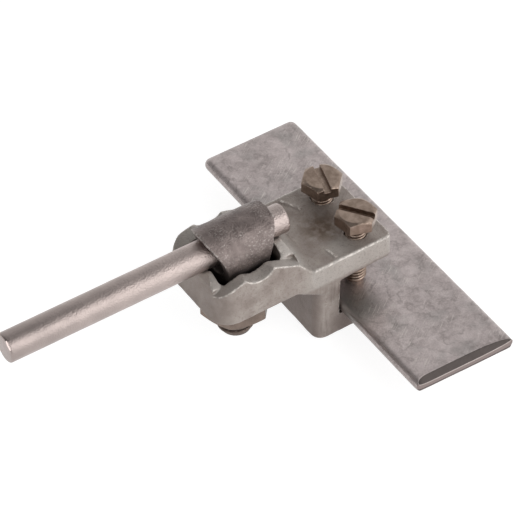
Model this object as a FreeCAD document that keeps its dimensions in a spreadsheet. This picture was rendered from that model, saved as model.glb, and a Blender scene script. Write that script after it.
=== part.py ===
import FreeCAD, Part
import math
import os
import re
import Sketcher

# Flat to round conductor clamp, closed on a short length of each conductor.
# Millimetres. The origin is the centre of the lower jaw's underside, +X runs along the round
# conductor towards the flat one, +Y along the flat conductor and +Z up.

doc = FreeCAD.newDocument("conductor_clamp")

# Driving dimensions

SIZES = {
    # conductors
    "rod_diameter": 8.0,
    "rod_length": 81.8,
    "rod_reach": 14.95,
    "rod_end_chamfer": 0.6,
    "strip_width": 30.0,
    "strip_thickness": 3.5,
    "strip_length": 101.0,
    "strip_shift": 2.6,
    "strip_corner": 2.0,
    "strip_rollover": 1.8,
    "strip_edge_flat": 0.1,
    # casting: jaw for the flat conductor
    "body_width": 28.7,
    "jaw_length": 23.3,
    "jaw_thickness": 7.0,
    "jaw_gap": 12.8,
    "plate_thickness": 7.4,
    "plate_tip_rise": 0.8,
    "spine_thickness": 7.0,
    "spine_step": 0.9,
    "strip_edge_gap": 0.3,
    "spine_corner": 3.0,
    "tip_corner": 1.8,
    "jaw_bottom_round": 0.9,
    "jaw_draft": 0.6,
    # casting: pocket and notched walls for the round conductor
    "bolt_offset": 28.0,
    "ring_reach": 13.5,
    "ring_corner": 6.0,
    "ring_draft_angle": 9.5,
    "plate_draft_angle": 3.0,
    "ring_base_rise": 0.6,
    "ring_skirt": 2.0,
    "ring_skirt_angle": 50.0,
    "gusset_reach": 5.8,
    "gusset_drop": 1.4,
    "floor_thickness": 2.8,
    "pocket_length": 18.6,
    "pocket_width": 17.4,
    "pocket_corner": 1.8,
    "rod_seat_rise": 4.55,
    "notch_radius": 5.5,
    "peak_rise": 2.3,
    "peak_spread": 4.6,
    "flank_rise": 1.2,
    "flank_spread": 8.4,
    "corner_drop": 0.5,
    "corner_length": 1.9,
    "wall_end_reach": 12.3,
    "wall_end_rise": 3.7,
    "wall_tilt_angle": 12.0,
    "side_peak_rise": 1.4,
    "shoulder_rise": 0.6,
    "shoulder_spread": 6.6,
    "shoulder_drop": 0.5,
    "left_edge_slope": 1.8,
    "left_edge_start": 1.2,
    "foot_bulge": 1.7,
    "foot_radius": 40.0,
    "foot_slope_angle": 48.0,
    # eye bolt
    "eye_radius": 5.1,
    "eye_wall": 2.6,
    "eye_play": 3.2,
    "eye_rod_gap": 0.1,
    "eye_crown_length": 20.2,
    "eye_waist_length": 12.0,
    "eye_side_radius": 22.7,
    "eye_flare": 1.0,
    "eye_flare_depth": 3.5,
    "stud_diameter": 10.0,
    "stud_hole_clearance": 0.5,
    "stud_end_length": 7.8,
    "stud_end_chamfer": 0.9,
    # hexagon nut
    "nut_flats": 17.0,
    "nut_height": 8.4,
    "nut_chamfer_inset": 0.15,
    "nut_angle": 50.0,
    "hexagon_chamfer_angle": 30.0,
    "thread_clearance": 0.05,
    "seat_gap": 0.02,
    # clamping screws
    "screw_diameter": 6.0,
    "screw_length": 20.4,
    "screw_tip_chamfer": 0.9,
    "screw_spacing": 15.5,
    "screw_offset": 4.5,
    "head_flats": 10.0,
    "head_height": 3.65,
    "head_chamfer_inset": 0.5,
    "slot_width": 1.8,
    "slot_depth": 1.45,
    "back_slot_angle": 29.0,
    "back_screw_angle": -135.0,
    "front_slot_angle": 25.5,
    "front_screw_angle": -79.7,
    # cast ribs on the plate's top
    "rib_height": 0.35,
    "rib_width": 0.7,
    "rib_offset": 5.6,
    "back_rib_start": 12.5,
    "back_rib_length": 6.0,
    "back_rib_angle": 62.0,
    "front_rib_start": 9.2,
    "front_rib_length": 3.3,
    "front_rib_angle": 80.0,
}

# Heights and places that follow from the driving dimensions

PLACES = {
    "jaw_left": "0 - jaw_length / 2",
    "jaw_right": "jaw_length / 2",
    "spine_inner": "jaw_left + spine_thickness",
    "strip_middle": "spine_inner + strip_edge_gap + strip_width / 2",
    "plate_base": "jaw_thickness + jaw_gap",
    "plate_tip_base": "plate_base + plate_tip_rise",
    "plate_top": "plate_base + plate_thickness",
    "ring_base": "plate_base + ring_base_rise",
    "ring_parting": "ring_base + ring_skirt",
    "floor_top": "ring_base + floor_thickness",
    "bolt_place": "0 - bolt_offset",
    "ring_left": "bolt_place - ring_reach",
    "ring_half": "body_width / 2",
    "rod_seat": "plate_top + rod_seat_rise",
    "rod_height": "rod_seat + rod_diameter / 2",
    "peak_top": "rod_seat + peak_rise",
    "corner_top": "rod_seat - corner_drop",
    "flank_top": "rod_seat + flank_rise",
    "side_peak_top": "rod_seat + side_peak_rise",
    "shoulder_top": "rod_seat + shoulder_rise",
    "shoulder_end": "rod_seat - shoulder_drop",
    "foot_middle": "jaw_left - spine_step + foot_bulge",
    "eye_top_centre": "rod_height + rod_diameter / 2 + eye_rod_gap - eye_radius",
    "eye_low_centre": "rod_seat - eye_play + eye_radius",
    "eye_outer": "eye_radius + eye_wall",
    "eye_outer_bottom": "eye_low_centre - eye_outer",
    "nut_top": "ring_base - seat_gap",
    "stud_end": "ring_base - nut_height - stud_end_length",
    "strip_top": "jaw_thickness + strip_thickness",
    "stud_root": "eye_outer_bottom + 0.8 * eye_wall",
    "sky": "rod_seat + 20",
}

sheet = doc.addObject("Spreadsheet::Sheet", "Sizes")
for row, (alias, size) in enumerate(SIZES.items(), start=1):
    sheet.set(f"A{row}", alias.replace("_", " "))
    sheet.set(f"B{row}", str(size))
    sheet.setAlias(f"B{row}", alias)
doc.recompute()


def formula(words):
    """Spell a formula of sizes and places with the sheet's own cells."""
    def cell(match):
        word = match.group(0)
        if word in PLACES:
            return "(" + formula(PLACES[word]) + ")"
        return "Sizes." + word if word in SIZES else word
    return re.sub(r"[a-z][a-z_]+", cell, words)


def value(words):
    """The number that a formula of sizes gives now."""
    return float(sheet.evalExpression(formula(words)))


def bind(thing, property_name, words):
    """Tie a property of a feature to the sheet."""
    thing.setExpression(property_name, formula(words))


def new_body(label):
    body = doc.addObject("PartDesign::Body", label)
    body.Label = label
    return body


def origin_part(body, role):
    return next(part for part in body.Origin.OriginFeatures if part.Role == role)


def new_sketch(body, name, plane, lift="0", along="0", across="0"):
    """A sketch on one of the body's origin planes, moved along the plane's axes by formulas."""
    sketch = body.newObject("Sketcher::SketchObject", name)
    sketch.AttachmentSupport = [(origin_part(body, plane), "")]
    sketch.MapMode = "FlatFace"
    for axis, words in (("x", along), ("y", across), ("z", lift)):
        if words != "0":
            bind(sketch, "AttachmentOffset.Base." + axis, words)
    return sketch


def pin_point(sketch, geometry, point, along, across):
    """Hold a point of the sketch at a place given by two formulas."""
    for kind, words in (("DistanceX", along), ("DistanceY", across)):
        rule = Sketcher.Constraint(kind, -1, 1, geometry, point, value(words))
        bind(sketch, f"Constraints[{sketch.addConstraint(rule)}]", words)


def draw_polygon(sketch, corners):
    """A closed outline of straight lines with each corner held by its formulas."""
    points = [FreeCAD.Vector(value(along), value(across), 0) for along, across in corners]
    first = sketch.GeometryCount
    for start, end in zip(points, points[1:] + points[:1]):
        sketch.addGeometry(Part.LineSegment(start, end))
    count = len(points)
    for number, (along, across) in enumerate(corners):
        following = first + (number + 1) % count
        sketch.addConstraint(Sketcher.Constraint("Coincident", first + number, 2, following, 1))
        pin_point(sketch, first + number, 1, along, across)


def draw_circle(sketch, along, across, radius):
    centre = FreeCAD.Vector(value(along), value(across), 0)
    circle = sketch.addGeometry(Part.Circle(centre, FreeCAD.Vector(0, 0, 1), value(radius)))
    pin_point(sketch, circle, 3, along, across)
    rule = sketch.addConstraint(Sketcher.Constraint("Radius", circle, value(radius)))
    bind(sketch, f"Constraints[{rule}]", radius)


def draw_upright_slot(sketch, along, low, high, radius):
    """A slot with round ends whose two centres stand one above the other."""
    up = FreeCAD.Vector(0, 0, 1)
    middle, size = value(along), value(radius)
    top_centre = FreeCAD.Vector(middle, value(high), 0)
    low_centre = FreeCAD.Vector(middle, value(low), 0)
    top = sketch.addGeometry(Part.ArcOfCircle(Part.Circle(top_centre, up, size), 0, math.pi))
    left = sketch.addGeometry(Part.LineSegment(
        FreeCAD.Vector(middle - size, value(high), 0), FreeCAD.Vector(middle - size, value(low), 0)))
    bottom = sketch.addGeometry(Part.ArcOfCircle(
        Part.Circle(low_centre, up, size), math.pi, 2 * math.pi))
    right = sketch.addGeometry(Part.LineSegment(
        FreeCAD.Vector(middle + size, value(low), 0), FreeCAD.Vector(middle + size, value(high), 0)))
    joins = [(top, 2, left, 1), (left, 2, bottom, 1), (bottom, 2, right, 1), (right, 2, top, 1)]
    for join in joins:
        sketch.addConstraint(Sketcher.Constraint("Tangent", *join))
    pin_point(sketch, top, 3, along, high)
    pin_point(sketch, bottom, 3, along, low)
    rule = sketch.addConstraint(Sketcher.Constraint("Radius", top, size))
    bind(sketch, f"Constraints[{rule}]", radius)


def draw_rounded_box(sketch, left, right, low, high, radius):
    """A box with round corners, its four corner centres held by formulas."""
    size = value(radius)
    up = FreeCAD.Vector(0, 0, 1)
    corners = []
    turns = ((right, "-", high, "-"), (left, "+", high, "-"), (left, "+", low, "+"), (right, "-", low, "+"))
    for step, (along, along_sign, across, across_sign) in enumerate(turns):
        middle = (f"{along} {along_sign} {radius}", f"{across} {across_sign} {radius}")
        circle = Part.Circle(FreeCAD.Vector(value(middle[0]), value(middle[1]), 0), up, size)
        arc = Part.ArcOfCircle(circle, step * math.pi / 2, (step + 1) * math.pi / 2)
        corners.append((sketch.addGeometry(arc), arc, middle))
    for (arc, shape, middle), (following, next_shape, _) in zip(corners, corners[1:] + corners[:1]):
        line = sketch.addGeometry(Part.LineSegment(shape.EndPoint, next_shape.StartPoint))
        sketch.addConstraint(Sketcher.Constraint("Tangent", arc, 2, line, 1))
        sketch.addConstraint(Sketcher.Constraint("Tangent", line, 2, following, 1))
    for arc, shape, middle in corners:
        pin_point(sketch, arc, 3, *middle)
        rule = sketch.addConstraint(Sketcher.Constraint("Radius", arc, size))
        bind(sketch, f"Constraints[{rule}]", radius)


def draw_corner_waste(sketch, along, across, radius):
    """What is cut away outside an upper left corner to leave it round."""
    corners = [
        (f"{along} + {radius}", f"{across} + 1"), (f"{along} - 1", f"{across} + 1"),
        (f"{along} - 1", f"{across} - {radius}"), (along, f"{across} - {radius}"),
        (f"{along} + {radius}", across)]
    points = [FreeCAD.Vector(value(first), value(second), 0) for first, second in corners]
    size = value(radius)
    centre = FreeCAD.Vector(value(along) + size, value(across) - size, 0)
    circle = Part.Circle(centre, FreeCAD.Vector(0, 0, 1), size)
    arc = sketch.addGeometry(Part.ArcOfCircle(circle, math.pi / 2, math.pi))
    for number in (4, 0, 1, 2):
        line = sketch.addGeometry(Part.LineSegment(points[number], points[(number + 1) % 5]))
        previous = (arc, 1) if number == 4 else (line - 1, 2)
        sketch.addConstraint(Sketcher.Constraint("Coincident", *previous, line, 1))
        pin_point(sketch, line, 1, *corners[number])
    sketch.addConstraint(Sketcher.Constraint("Coincident", line, 2, arc, 2))
    pin_point(sketch, arc, 2, *corners[3])
    rule = sketch.addConstraint(Sketcher.Constraint("Radius", arc, size))
    bind(sketch, f"Constraints[{rule}]", radius)


def draw_hexagon(sketch, flats):
    """A hexagon about the sketch's origin with one corner on the first axis."""
    corner = f"({flats}) / 2 / cos(30 deg)"
    corners = [(f"{corner} * cos({60 * step} deg)", f"{corner} * sin({60 * step} deg)")
               for step in range(6)]
    draw_polygon(sketch, corners)


def settle(feature):
    """Recompute and stop if the feature failed."""
    doc.recompute()
    if "Invalid" in feature.State or "Error" in feature.State or not feature.Shape.isValid():
        raise RuntimeError(feature.Name + " could not be made")
    return feature


def pad(body, name, sketch, length, both_ways=False, downwards=False, taper="0"):
    feature = body.newObject("PartDesign::Pad", name)
    feature.Profile = sketch
    feature.Midplane = both_ways
    feature.Reversed = downwards
    bind(feature, "Length", length)
    if taper != "0":
        bind(feature, "TaperAngle", taper)
    return settle(feature)


def cut(body, name, sketch, length="", both_ways=False, downwards=False):
    """Remove the sketch's outline over a length, or right through, and check that it cuts."""
    before = body.Shape.Volume
    feature = body.newObject("PartDesign::Pocket", name)
    feature.Profile = sketch
    feature.Midplane = both_ways
    feature.Reversed = downwards
    if length:
        bind(feature, "Length", length)
    else:
        feature.Type = "ThroughAll"
    settle(feature)
    if feature.Shape.Volume >= before:
        raise RuntimeError(name + " removes nothing")
    return feature


def turn_away(body, name, sketch):
    """Remove the sketch's outline all the way round the sketch's upright axis."""
    before = body.Shape.Volume
    feature = body.newObject("PartDesign::Groove", name)
    feature.Profile = sketch
    feature.ReferenceAxis = (sketch, ["V_Axis"])
    feature.Angle = 360
    settle(feature)
    if feature.Shape.Volume >= before:
        raise RuntimeError(name + " removes nothing")
    return feature


def round_edges(body, name, base, radius, chosen):
    """Round the edges of the last feature that the test picks out."""
    edges = [f"Edge{number}" for number, edge in enumerate(base.Shape.Edges, start=1) if chosen(edge)]
    if not edges:
        raise RuntimeError(name + " finds no edge")
    feature = body.newObject("PartDesign::Fillet", name)
    feature.Base = (base, edges)
    bind(feature, "Radius", radius)
    return settle(feature)


def is_upright(edge):
    low, high = edge.Vertexes[0].Point, edge.Vertexes[-1].Point
    return abs(high.z - low.z) > 3 * max(abs(high.x - low.x), abs(high.y - low.y))


def near(number, words, slack=0.05):
    return abs(number - value(words)) < slack


# Round conductor: a short length of drawn rod with a broken edge at each end

def make_round_conductor():
    body = new_body("round_conductor")
    start = "bolt_place + rod_reach - rod_length"
    section = new_sketch(body, "rod_section", "YZ_Plane", lift=start)
    draw_circle(section, "0", "rod_height", "rod_diameter / 2")
    rod = pad(body, "rod", section, "rod_length")
    ends = [f"Edge{number}" for number, edge in enumerate(rod.Shape.Edges, start=1)
            if edge.isClosed()]
    chamfer = body.newObject("PartDesign::Chamfer", "rod_ends")
    chamfer.Base = (rod, ends)
    bind(chamfer, "Size", "rod_end_chamfer")
    settle(chamfer)
    return body


# Flat conductor: rolled strip with round long edges, cropped to length at the near end

def make_flat_conductor():
    body = new_body("flat_conductor")
    section = new_sketch(body, "strip_outline", "XY_Plane", lift="jaw_thickness")
    left = "strip_middle - strip_width / 2"
    right = "strip_middle + strip_width / 2"
    near_end = "strip_shift - strip_length / 2"
    far_end = "strip_shift + strip_length / 2"
    draw_polygon(section, [(left, near_end), (right, near_end), (right, far_end), (left, far_end)])
    strip = pad(body, "strip", section, "strip_thickness")
    strip = round_edges(
        body, "strip_corners", strip, "strip_corner",
        lambda edge: is_upright(edge) and near(edge.CenterOfMass.y, far_end))
    strip = round_edges(
        body, "strip_edges", strip, "(strip_thickness - strip_edge_flat) / 2",
        lambda edge: edge.Length > value("strip_length") / 2)
    rollover = new_sketch(body, "rollover", "YZ_Plane")
    draw_corner_waste(rollover, near_end, "strip_top", "strip_rollover")
    cut(body, "cropped_end", rollover, both_ways=True)
    return body


# Casting: jaw, spine and tapped plate in one with the notched ring for the round conductor

def make_clamp_body():
    body = new_body("clamp_body")

    side = new_sketch(body, "jaw_side", "XZ_Plane")
    plate_left = "jaw_left - spine_step"
    draw_polygon(side, [
        ("jaw_left", "0"), ("jaw_right", "0"), ("jaw_right", "jaw_thickness"),
        ("spine_inner", "jaw_thickness"), ("spine_inner", "plate_base"),
        ("jaw_right", "plate_tip_base"), ("jaw_right", "plate_top"),
        (plate_left, "plate_top"), (plate_left, "ring_parting"),
        (f"{plate_left} - gusset_reach", "ring_parting"),
        ("jaw_left", "plate_base - gusset_drop")])
    pad(body, "jaw", side, "body_width", both_ways=True)

    # the sides lean in towards the underside and towards the top, as the mould needs
    draft = new_sketch(body, "side_draft", "YZ_Plane")
    top_inset = "(plate_top - ring_parting) * tan(plate_draft_angle * 1 deg)"
    for sign in ("0 +", "0 -"):
        draw_polygon(draft, [
            (f"{sign} body_width / 2", "plate_base"),
            (f"{sign} (body_width / 2 - jaw_draft)", "0"),
            (f"{sign} (body_width / 2 + 1)", "0")])
        draw_polygon(draft, [
            (f"{sign} body_width / 2", "ring_parting"),
            (f"{sign} (body_width / 2 - {top_inset})", "plate_top"),
            (f"{sign} (body_width / 2 + 1)", "plate_top")])
    jaw = cut(body, "drafted_sides", draft, both_ways=True)

    jaw = round_edges(
        body, "spine_corners", jaw, "spine_corner",
        lambda edge: is_upright(edge) and near(edge.CenterOfMass.x, "jaw_left")
        and edge.Length > value("jaw_gap"))
    jaw = round_edges(
        body, "tip_corners", jaw, "tip_corner",
        lambda edge: is_upright(edge) and near(edge.CenterOfMass.x, "jaw_right"))
    round_edges(
        body, "jaw_bottom", jaw, "jaw_bottom_round",
        lambda edge: near(edge.CenterOfMass.z, "0"))

    # the ring's sides lean in above the parting line, and its skirt leans in below it
    for part_name, going_down, height, taper in (
            ("ring_walls", False, "peak_top + 1 - ring_parting", "0 - ring_draft_angle"),
            ("ring_skirt", True, "ring_skirt", "0 - ring_skirt_angle")):
        plan = new_sketch(body, part_name + "_plan", "XY_Plane", lift="ring_parting")
        draw_rounded_box(
            plan, "ring_left", "spine_inner", "0 - body_width / 2", "body_width / 2", "ring_corner")
        pad(body, part_name, plan, height, downwards=going_down, taper=taper)

    # front wall's top, seen along the flat conductor and tilted towards the pocket
    skyline = new_sketch(body, "front_wall_top", "XZ_Plane", lift="ring_half")
    draw_polygon(skyline, [
        ("ring_left - 5", "sky"), ("ring_left - 5", "corner_top"),
        ("ring_left + corner_length", "corner_top"),
        ("bolt_place - flank_spread", "flank_top"),
        ("bolt_place - peak_spread", "peak_top"),
        ("bolt_place + peak_spread", "peak_top"),
        ("bolt_place + wall_end_reach", "plate_top + wall_end_rise"),
        ("bolt_place + wall_end_reach", "sky")])
    front_top = body.newObject("PartDesign::Pocket", "front_wall")
    front_top.Profile = skyline
    front_top.UseCustomVector = True
    front_top.Direction = FreeCAD.Vector(0, 1, 0 - value("tan(wall_tilt_angle * 1 deg)"))
    bind(front_top, "Direction.z", "0 - tan(wall_tilt_angle * 1 deg)")
    bind(front_top, "Length", "ring_half - pocket_width / 2")
    settle(front_top)
    back_top = body.newObject("PartDesign::Mirrored", "back_wall")
    back_top.Originals = [front_top]
    back_top.MirrorPlane = (origin_part(body, "XZ_Plane"), [""])
    body.Tip = back_top
    settle(back_top)

    # tops of the walls that the round conductor crosses, high beside it and low at the corners
    crossed = new_sketch(body, "crossed_wall_tops", "YZ_Plane")
    for sign in ("0 +", "0 -"):
        draw_polygon(crossed, [
            ("0", "side_peak_top"), (f"{sign} peak_spread", "side_peak_top"),
            (f"{sign} shoulder_spread", "shoulder_top"),
            (f"{sign} pocket_width / 2", "shoulder_end"), (f"{sign} pocket_width / 2", "sky"),
            ("0", "sky")])
    cut(body, "trim_crossed_walls", crossed, both_ways=True)
    outer = new_sketch(body, "left_wall_edge", "XZ_Plane")
    draw_polygon(outer, [
        ("ring_left - 5", "sky"), ("ring_left - 5", "shoulder_end"),
        ("ring_left + left_edge_start", "shoulder_end"),
        ("ring_left + left_edge_start + left_edge_slope", "shoulder_end + left_edge_slope"),
        ("ring_left + left_edge_start + left_edge_slope", "sky")])
    cut(body, "left_edge", outer, length="pocket_width", both_ways=True)

    # the walls slope down to the plate on a cone whose foot bulges towards the flat conductor
    slope = new_sketch(body, "foot_slope", "XZ_Plane", along="foot_middle - foot_radius")
    run = "(sky - plate_top) / tan(foot_slope_angle * 1 deg)"
    draw_polygon(slope, [
        ("foot_radius", "plate_top"), ("foot_radius + foot_bulge + 8", "plate_top"),
        ("foot_radius + foot_bulge + 8", "sky"), (f"foot_radius - {run}", "sky")])
    turn_away(body, "slope_to_plate", slope)

    pocket = new_sketch(body, "pocket_plan", "XY_Plane", lift="floor_top")
    draw_rounded_box(
        pocket, "bolt_place - pocket_length / 2", "bolt_place + pocket_length / 2",
        "0 - pocket_width / 2", "pocket_width / 2", "pocket_corner")
    cut(body, "pocket", pocket, length="sky - floor_top", downwards=True)

    # notches across the walls, one pair for each way that the round conductor can lie
    lengthwise = new_sketch(body, "lengthwise_notch", "YZ_Plane")
    draw_circle(lengthwise, "0", "rod_seat + notch_radius", "notch_radius")
    cut(body, "lengthwise_notches", lengthwise, both_ways=True)
    crosswise = new_sketch(body, "crosswise_notch", "XZ_Plane")
    draw_circle(crosswise, "bolt_place", "rod_seat + notch_radius", "notch_radius")
    cut(body, "crosswise_notches", crosswise, both_ways=True)

    stud_hole = new_sketch(body, "stud_hole_plan", "XY_Plane")
    draw_circle(stud_hole, "bolt_place", "0", "stud_diameter / 2 + stud_hole_clearance")
    cut(body, "stud_hole", stud_hole, length="floor_top + 1", downwards=True)
    screw_holes = new_sketch(body, "screw_holes_plan", "XY_Plane", lift="plate_base - 1")
    for sign in ("0 +", "0 -"):
        draw_circle(screw_holes, "screw_offset", f"{sign} screw_spacing / 2", "screw_diameter / 2")
    cut(body, "screw_holes", screw_holes, length="plate_thickness + 2", downwards=True)

    ribs = new_sketch(body, "ribs_plan", "XY_Plane", lift="plate_top - rib_height")
    for side, start in (("back", "back_rib_start"), ("front", "0 - front_rib_start")):
        ahead = (f"cos({side}_rib_angle * 1 deg)", f"sin({side}_rib_angle * 1 deg)")
        corners = []
        for length, half in (("0", "0 -"), (f"{side}_rib_length", "0 -"),
                             (f"{side}_rib_length", "0 +"), ("0", "0 +")):
            corners.append((
                f"0 - rib_offset + {length} * {ahead[0]} + ({half} rib_width / 2) * {ahead[1]}",
                f"{start} - {length} * {ahead[1]} + ({half} rib_width / 2) * {ahead[0]}"))
        draw_polygon(ribs, corners)
    pad(body, "ribs", ribs, "2 * rib_height")
    return body


# Eye bolt: an eye that narrows from its crown to its waist, on a threaded stud

def make_eye_bolt():
    body = new_body("eye_bolt")
    crown_start = "bolt_place - eye_crown_length / 2"

    outline = new_sketch(body, "eye_outline", "YZ_Plane", lift=crown_start)
    draw_upright_slot(outline, "0", "eye_low_centre", "eye_top_centre", "eye_outer")
    pad(body, "eye", outline, "eye_crown_length")

    sides = new_sketch(body, "eye_sides", "XZ_Plane")
    for side_sign in ("+", "-"):
        centre = f"bolt_place {side_sign} (eye_waist_length / 2 + eye_side_radius)"
        draw_circle(sides, centre, "eye_low_centre - eye_radius", "eye_side_radius")
    cut(body, "narrowed_sides", sides, both_ways=True)

    hole = new_sketch(body, "eye_hole", "YZ_Plane")
    draw_upright_slot(hole, "0", "eye_low_centre", "eye_top_centre", "eye_radius")
    cut(body, "hole_for_rod", hole, both_ways=True)

    # both mouths of the eye flare open
    for name, place, turn in (
            ("left_mouth", crown_start, 90), ("right_mouth", "bolt_place + eye_crown_length / 2", -90)):
        mouth = body.newObject("PartDesign::SubtractiveCone", name)
        bind(mouth, "Radius1", "eye_radius + eye_flare")
        bind(mouth, "Radius2", "eye_radius - 0.1")
        bind(mouth, "Height", "eye_flare_depth")
        mouth.AttachmentOffset = FreeCAD.Placement(
            FreeCAD.Vector(0, 0, 0), FreeCAD.Rotation(FreeCAD.Vector(0, 1, 0), turn))
        bind(mouth, "AttachmentOffset.Base.x", place)
        bind(mouth, "AttachmentOffset.Base.z", "eye_top_centre")
        mouth.AttachmentSupport = [(origin_part(body, "XY_Plane"), "")]
        mouth.MapMode = "FlatFace"
        settle(mouth)

    stud_plan = new_sketch(body, "stud_plan", "XY_Plane", lift="stud_end")
    draw_circle(stud_plan, "bolt_place", "0", "stud_diameter / 2")
    stud = pad(body, "stud", stud_plan, "stud_root - stud_end")
    end_edges = [f"Edge{number}" for number, edge in enumerate(stud.Shape.Edges, start=1)
                 if near(edge.BoundBox.ZMax, "stud_end", 0.01)]
    chamfer = body.newObject("PartDesign::Chamfer", "stud_tip")
    chamfer.Base = (stud, end_edges)
    bind(chamfer, "Size", "stud_end_chamfer")
    settle(chamfer)
    return body


def chamfer_corners(body, name, kind, height, inwards):
    """Turn a hexagon's corners off on a cone that starts a little inside its flats."""
    profile = new_sketch(body, name + "_profile", "XZ_Plane", across=height)
    inner = f"{kind}_flats / 2 - {kind}_chamfer_inset"
    outer = f"{kind}_flats"
    depth = f"({outer} - ({inner})) * tan(hexagon_chamfer_angle * 1 deg)"
    draw_polygon(profile, [(inner, "0"), (outer, "0"), (outer, f"{inwards} {depth}")])
    return turn_away(body, name, profile)


# Hexagon nut, chamfered at both faces

def make_hex_nut():
    body = new_body("hex_nut")
    plan = new_sketch(body, "nut_plan", "XY_Plane")
    draw_hexagon(plan, "nut_flats")
    pad(body, "nut", plan, "nut_height")
    chamfer_corners(body, "lower_chamfer", "nut", "0", "0 +")
    chamfer_corners(body, "upper_chamfer", "nut", "nut_height", "0 -")
    bore = new_sketch(body, "nut_bore_plan", "XY_Plane")
    draw_circle(bore, "0", "0", "stud_diameter / 2 + thread_clearance")
    cut(body, "nut_bore", bore, both_ways=True)
    body.Placement = FreeCAD.Placement(
        FreeCAD.Vector(0, 0, 0), FreeCAD.Rotation(FreeCAD.Vector(0, 0, 1), value("nut_angle")))
    bind(body, "Placement.Base.x", "bolt_place")
    bind(body, "Placement.Base.z", "nut_top - nut_height")
    return body


# Clamping screw: hexagon head with a driver slot, drawn about its own axis from its tip up

def make_screw(side, side_sign):
    label = "clamp_screw_" + side
    body = new_body(label)
    shank = new_sketch(body, label + "_shank_plan", "XY_Plane")
    draw_circle(shank, "0", "0", "screw_diameter / 2 - thread_clearance")
    shank_pad = pad(body, label + "_shank", shank, "screw_length")
    tip = body.newObject("PartDesign::Chamfer", label + "_tip")
    tip.Base = (shank_pad, [f"Edge{number}" for number, edge in enumerate(shank_pad.Shape.Edges, start=1)
                            if near(edge.BoundBox.ZMax, "0", 0.01)])
    bind(tip, "Size", "screw_tip_chamfer")
    settle(tip)
    head = new_sketch(body, label + "_head_plan", "XY_Plane", lift="screw_length")
    draw_hexagon(head, "head_flats")
    pad(body, label + "_head", head, "head_height")
    chamfer_corners(body, label + "_head_chamfer", "head", "screw_length + head_height", "0 -")
    slot = new_sketch(body, label + "_slot_plan", "XY_Plane", lift="screw_length + head_height")
    slot.AttachmentOffset = FreeCAD.Placement(
        FreeCAD.Vector(0, 0, 0), FreeCAD.Rotation(FreeCAD.Vector(0, 0, 1), value(side + "_slot_angle")))
    bind(slot, "AttachmentOffset.Base.z", "screw_length + head_height")
    half_length, half_width = "head_flats", "slot_width / 2"
    draw_polygon(slot, [
        (f"0 - {half_length}", f"0 - {half_width}"), (half_length, f"0 - {half_width}"),
        (half_length, half_width), (f"0 - {half_length}", half_width)])
    cut(body, label + "_slot", slot, length="slot_depth")
    body.Placement = FreeCAD.Placement(
        FreeCAD.Vector(0, 0, 0), FreeCAD.Rotation(FreeCAD.Vector(0, 0, 1), value(side + "_screw_angle")))
    bind(body, "Placement.Base.x", "screw_offset")
    bind(body, "Placement.Base.y", f"{side_sign}screw_spacing / 2")
    bind(body, "Placement.Base.z", "strip_top")
    return body


pieces = [
    make_clamp_body(),
    make_eye_bolt(),
    make_hex_nut(),
    make_screw("back", ""),
    make_screw("front", "-"),
    make_round_conductor(),
    make_flat_conductor(),
]
doc.recompute()

for thing in doc.Objects:
    if "Invalid" in thing.State or "Error" in thing.State:
        raise RuntimeError(thing.Name + " failed")

os.makedirs("parts", exist_ok=True)
for piece in pieces:
    if piece.Shape.isNull() or not piece.Shape.isValid():
        raise RuntimeError(piece.Label + " has no valid shape")
    piece.Shape.exportStep(os.path.join("parts", piece.Label + ".step"))
    box = piece.Shape.BoundBox
    print(piece.Label, "solids", len(piece.Shape.Solids), "volume", round(piece.Shape.Volume, 1),
          "x", round(box.XMin, 2), round(box.XMax, 2), "y", round(box.YMin, 2), round(box.YMax, 2),
          "z", round(box.ZMin, 2), round(box.ZMax, 2))
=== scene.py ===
"""Dresses the flat to round conductor clamp: castings, threads, finishes, studio and camera."""

import math

import bmesh
import bpy
from mathutils import Matrix, Vector, noise


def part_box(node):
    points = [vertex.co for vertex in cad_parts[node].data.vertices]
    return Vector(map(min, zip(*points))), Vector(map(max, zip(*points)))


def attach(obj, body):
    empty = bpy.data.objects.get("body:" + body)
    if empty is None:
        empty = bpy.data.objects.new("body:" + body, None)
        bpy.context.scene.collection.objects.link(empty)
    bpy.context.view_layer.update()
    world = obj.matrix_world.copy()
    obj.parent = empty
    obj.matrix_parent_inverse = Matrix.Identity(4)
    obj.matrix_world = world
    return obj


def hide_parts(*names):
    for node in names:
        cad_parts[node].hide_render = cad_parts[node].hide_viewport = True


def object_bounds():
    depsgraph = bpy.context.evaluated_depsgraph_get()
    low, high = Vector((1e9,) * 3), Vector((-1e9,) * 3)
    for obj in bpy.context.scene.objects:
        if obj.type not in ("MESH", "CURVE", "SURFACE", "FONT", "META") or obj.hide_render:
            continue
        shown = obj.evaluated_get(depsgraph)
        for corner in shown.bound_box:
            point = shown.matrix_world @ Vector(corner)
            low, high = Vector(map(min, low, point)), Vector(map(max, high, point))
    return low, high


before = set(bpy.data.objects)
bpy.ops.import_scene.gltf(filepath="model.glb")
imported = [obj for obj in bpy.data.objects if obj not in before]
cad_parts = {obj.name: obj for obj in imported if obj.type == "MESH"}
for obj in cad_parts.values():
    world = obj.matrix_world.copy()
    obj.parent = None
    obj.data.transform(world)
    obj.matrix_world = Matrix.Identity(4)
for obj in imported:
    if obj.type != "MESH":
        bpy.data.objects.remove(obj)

bl_info = {
    "name": "Conductor Clamp Looks",
    "version": (1, 0, 0),
    "blender": (4, 5, 0),
    "location": "3D View > Sidebar > Clamp",
    "description": "Builds the dressed pieces of a flat to round conductor clamp around its CAD frame",
    "category": "Object",
}

CAD_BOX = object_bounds()
MM = 0.001

# attributes that the meshes carry for their materials
WEAR = "edge_wear"
CUT = "cut_end"
FACING = "facing_up"

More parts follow.
